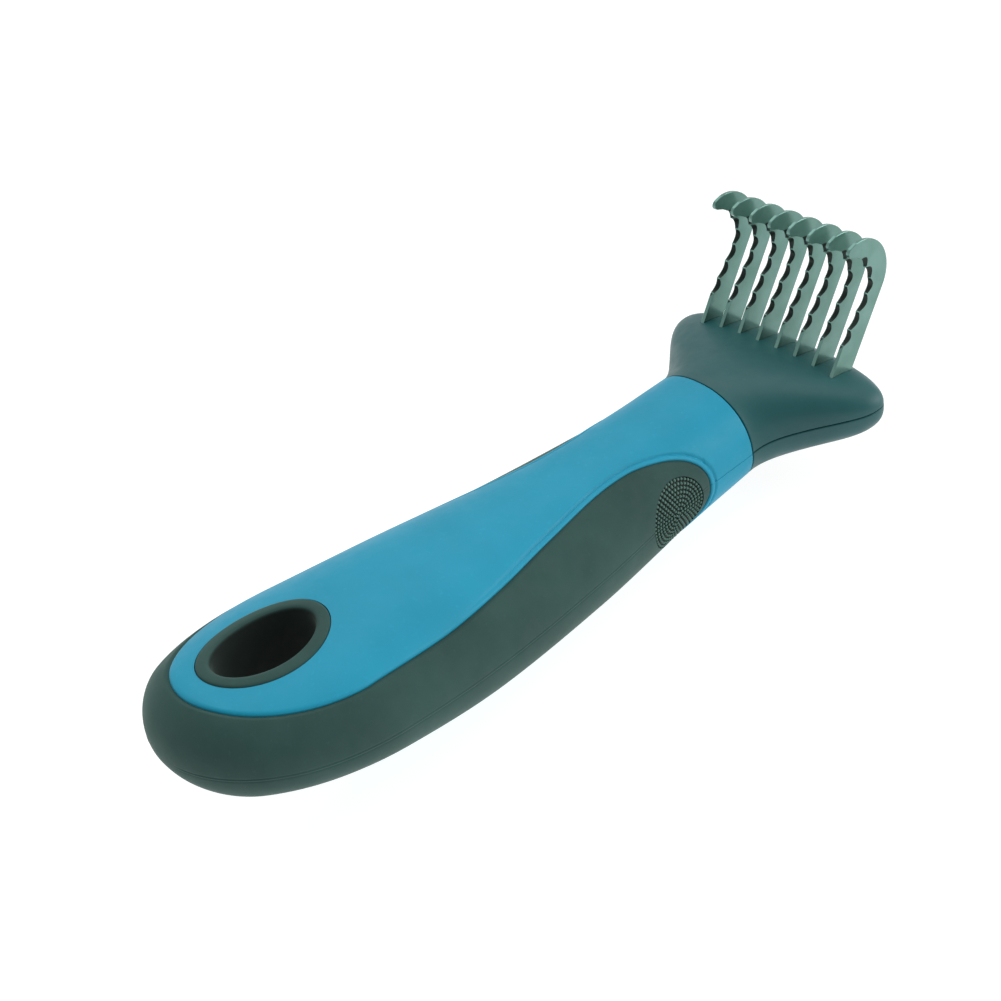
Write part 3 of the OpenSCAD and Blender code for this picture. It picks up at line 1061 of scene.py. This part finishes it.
def hook_rows(last_edge, last_back):
    """Rows round the mouth of the hook, from the uppermost tooth to the tip."""
    edges = [last_edge, MOUTH] + arc(TIP, TIP_R, np.radians(np.arange(245, 188, -8)))
    start = math.atan2(last_back[1], last_back[0])
    backs = arc(0, HOOK_R, np.linspace(start, math.radians(94), 4))
    backs += arc(TIP, TIP_R, np.radians(np.arange(100, 192, 8)))
    rows = []
    for edge, back in zip(resampled(edges, 26)[1:], resampled(backs, 26)[1:]):
        gap = max(float(np.linalg.norm(back - edge)), 1e-6)
        rows.append((edge, edge + (back - edge) / gap * min(0.3 * gap, BEVEL), back))
    return rows


def blade_ring(edge, bevel, back):
    """Section through a blade at one row, as (across, point in the blade's plane)."""
    half = BLADE_T / 2
    width = np.linalg.norm(back - edge)
    towards = (back - edge) / max(width, 1e-6)
    chamfer = min(BEVEL, 0.3 * width)
    return [
        (-half, edge + chamfer * 0.6 * towards),
        (-half + 0.07, edge),
        (-half + 0.16, edge),
        (half, bevel),
        (half, back - chamfer * towards),
        (half - BEVEL, back),
        (-half + BEVEL, back),
        (-half, back - chamfer * towards),
    ]


def blade_mesh():
    """Mesh of a blade in the middle of the row, with the two rods' holes."""
    rows = shank_rows() + tooth_rows()
    rows += hook_rows(rows[-1][0], rows[-1][2])
    rings = []
    for row in rows:
        rings.append([(x, HOOK_S + p[0], HOOK_Z + p[1]) for x, p in blade_ring(*row)])
    blade = add_mesh("blade", loop_parts(np.array(rings)))
    centres = [back_point(d) - SHANK_W / 2 * SQUARE for d in ROD_BACK]
    parts = [prism(circle(ROD_D / 2, in_blade_plane(c)), -2, 2, 0) for c in centres]
    cut(blade, add_mesh("cutter", merged(parts)))
    mesh = blade.data
    mark_ground(mesh)
    bpy.data.objects.remove(blade)
    return mesh


def mark_ground(mesh):
    """1 on the hollow-ground bevel of the scallops, 0 on the rest of the blade; the material paints shade
    there, for the dark neighbouring blades that the bevel reflects, and makes it rougher.
    """
    teeth = np.array(TEETH)
    lowest, highest = teeth[-1] @ LEAN - 0.4, teeth[0] @ LEAN + 0.8
    outermost, innermost = teeth[0] @ SQUARE - 0.2, 4.9
    ground = mesh.attributes.new("ground", "FLOAT", "FACE")
    for face, mark in zip(mesh.polygons, ground.data):
        at = np.array([face.center[1] / MM + OVERALL_L / 2 - HOOK_S, face.center[2] / MM - HOOK_Z])
        near_edge = lowest < at @ LEAN < highest and outermost < at @ SQUARE < innermost
        tooth = np.hypot(*(at - teeth[1:]).T).min() < TOOTH_LAND
        sloping = 0.05 < face.normal[0] < 0.985
        mark.value = float(near_edge and sloping and not tooth)


def blades():
    """The eight equal blades, each with its own mesh."""
    first = blade_mesh()
    for i in range(1, BLADE_COUNT + 1):
        mesh = first.copy()
        mesh.transform(Matrix.Translation((blade_x(i) * MM, 0, 0)))
        piece = bpy.data.objects.new(f"blade_{i}_ground", mesh)
        bpy.context.scene.collection.objects.link(piece)
        dress(piece, blade_steel, [f"blade_{i}"], sharp=20)
    bpy.data.meshes.remove(first)


# ---------------------------------------------------------------- CAD nodes that stay


def finish_cad_nodes():
    """Every CAD node gets a finish, the ones that a piece stands for as well."""
    finishes = {
        "handle": blue, "grip": rubber, "hang": rubber, "head": grey, "blade": blade_steel,
        "spacer": nylon, "end": nylon, "upper": rod_steel, "lower": rod_steel,
    }
    for name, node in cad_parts.items():
        material = screw_steel if name == "head_screws" else finishes[name.split("_")[0]]
        for slot in node.material_slots:
            slot.material = material
        node.data.set_sharp_from_angle(angle=math.radians(30))


# ---------------------------------------------------------------- stage


def floor():
    """Pale floor just under the lowest point."""
    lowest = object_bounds()[0][2]
    mesh = bpy.data.meshes.new("floor")
    bm = bmesh.new()
    bmesh.ops.create_grid(bm, x_segments=2, y_segments=2, size=FLOOR_HALF)
    bm.to_mesh(mesh)
    bm.free()
    mesh.transform(Matrix.Translation((0, 0, lowest - 0.0001)))
    piece = bpy.data.objects.new("floor", mesh)
    bpy.context.scene.collection.objects.link(piece)
    m = Nodes("pale_floor")
    tone = m.remap(m.noise(400, 2), 0.3, 0.7, 0, 1)
    m.link(m.mix(tone, (0.26, 0.26, 0.26, 1), (0.29, 0.29, 0.29, 1)), "Base Color")
    m.set(Roughness=0.9, Specular_IOR_Level=0.1, Emission_Color=(1, 1, 1, 1), Emission_Strength=0.9)
    mesh.materials.append(m.material)
    piece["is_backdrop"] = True


def area_light(name, at, aim, size, power):
    """Round soft box, in metres and watts."""
    data = bpy.data.lights.new(name, "AREA")
    data.shape = "DISK"
    data.size = size
    data.energy = power
    lamp = bpy.data.objects.new(name, data)
    lamp.location = at
    lamp.rotation_euler = (Vector(aim) - Vector(at)).to_track_quat("-Z", "Y").to_euler()
    bpy.context.scene.collection.objects.link(lamp)


def studio_world():
    """Even pale studio with one darker side, as behind the photographer."""
    world = bpy.data.worlds.new("studio")
    world.use_nodes = True
    tree = world.node_tree
    direction = tree.nodes.new("ShaderNodeTexCoord").outputs["Generated"]
    along = tree.nodes.new("ShaderNodeVectorMath")
    along.operation = "DOT_PRODUCT"
    along.inputs[1].default_value = Vector(DARK_WAY).normalized()
    tree.links.new(direction, along.inputs[0])
    ramp = tree.nodes.new("ShaderNodeMapRange")
    ramp.interpolation_type = "SMOOTHSTEP"
    levels = {"From Min": 0.5, "From Max": 0.88, "To Min": WORLD_LIGHT, "To Max": WORLD_DARK}
    for key, value in levels.items():
        ramp.inputs[key].default_value = value
    tree.links.new(along.outputs["Value"], ramp.inputs["Value"])
    background = tree.nodes["Background"]
    background.inputs["Color"].default_value = (0.95, 1, 1, 1)
    tree.links.new(ramp.outputs["Result"], background.inputs["Strength"])
    bpy.context.scene.world = world


def lights():
    """Pale studio with a soft box above and one at the blade end."""
    studio_world()
    area_light("top_softbox", at=(-0.3, 0.3, 1.1), aim=(0, 0, 0.02), size=1.5, power=6.0)
    area_light("side_softbox", at=(0.62, 0.78, 0.3), aim=(0, 0.04, 0.02), size=0.8, power=5.0)


def camera():
    """Camera at the photograph's viewing angle."""
    turn, rise, roll = (math.radians(v) for v in (CAMERA_TURN, CAMERA_RISE, CAMERA_ROLL))
    back = Vector((math.sin(turn) * math.cos(rise), -math.cos(turn) * math.cos(rise), math.sin(rise)))
    right = Vector((math.cos(turn), math.sin(turn), 0))
    up = back.cross(right)
    across = math.cos(roll) * right + math.sin(roll) * up
    upward = -math.sin(roll) * right + math.cos(roll) * up
    data = bpy.data.cameras.new("camera")
    data.sensor_width = 36
    data.lens = CAMERA_LENS
    data.clip_start = 0.01
    view = bpy.data.objects.new("camera", data)
    axes = Matrix((across, upward, back)).transposed().to_4x4()
    view.matrix_world = Matrix.Translation(Vector(CAMERA_AT) * MM) @ axes
    bpy.context.scene.collection.objects.link(view)
    bpy.context.scene.camera = view


# ---------------------------------------------------------------- make it

camera()
blue_half("handle_front_blue", 1, "handle_front_half")
blue_half("handle_rear_blue", -1, "handle_rear_half")
grip()
thumb_pad("thumb_pad_right", 1)
thumb_pad("thumb_pad_left", -1)
liner()
head_half("head_front_grey", 1, "head_front_shell")
head_half("head_rear_grey", -1, "head_rear_shell")
blades()
finish_cad_nodes()
floor()
lights()
bpy.context.scene.view_settings.view_transform = "Standard"
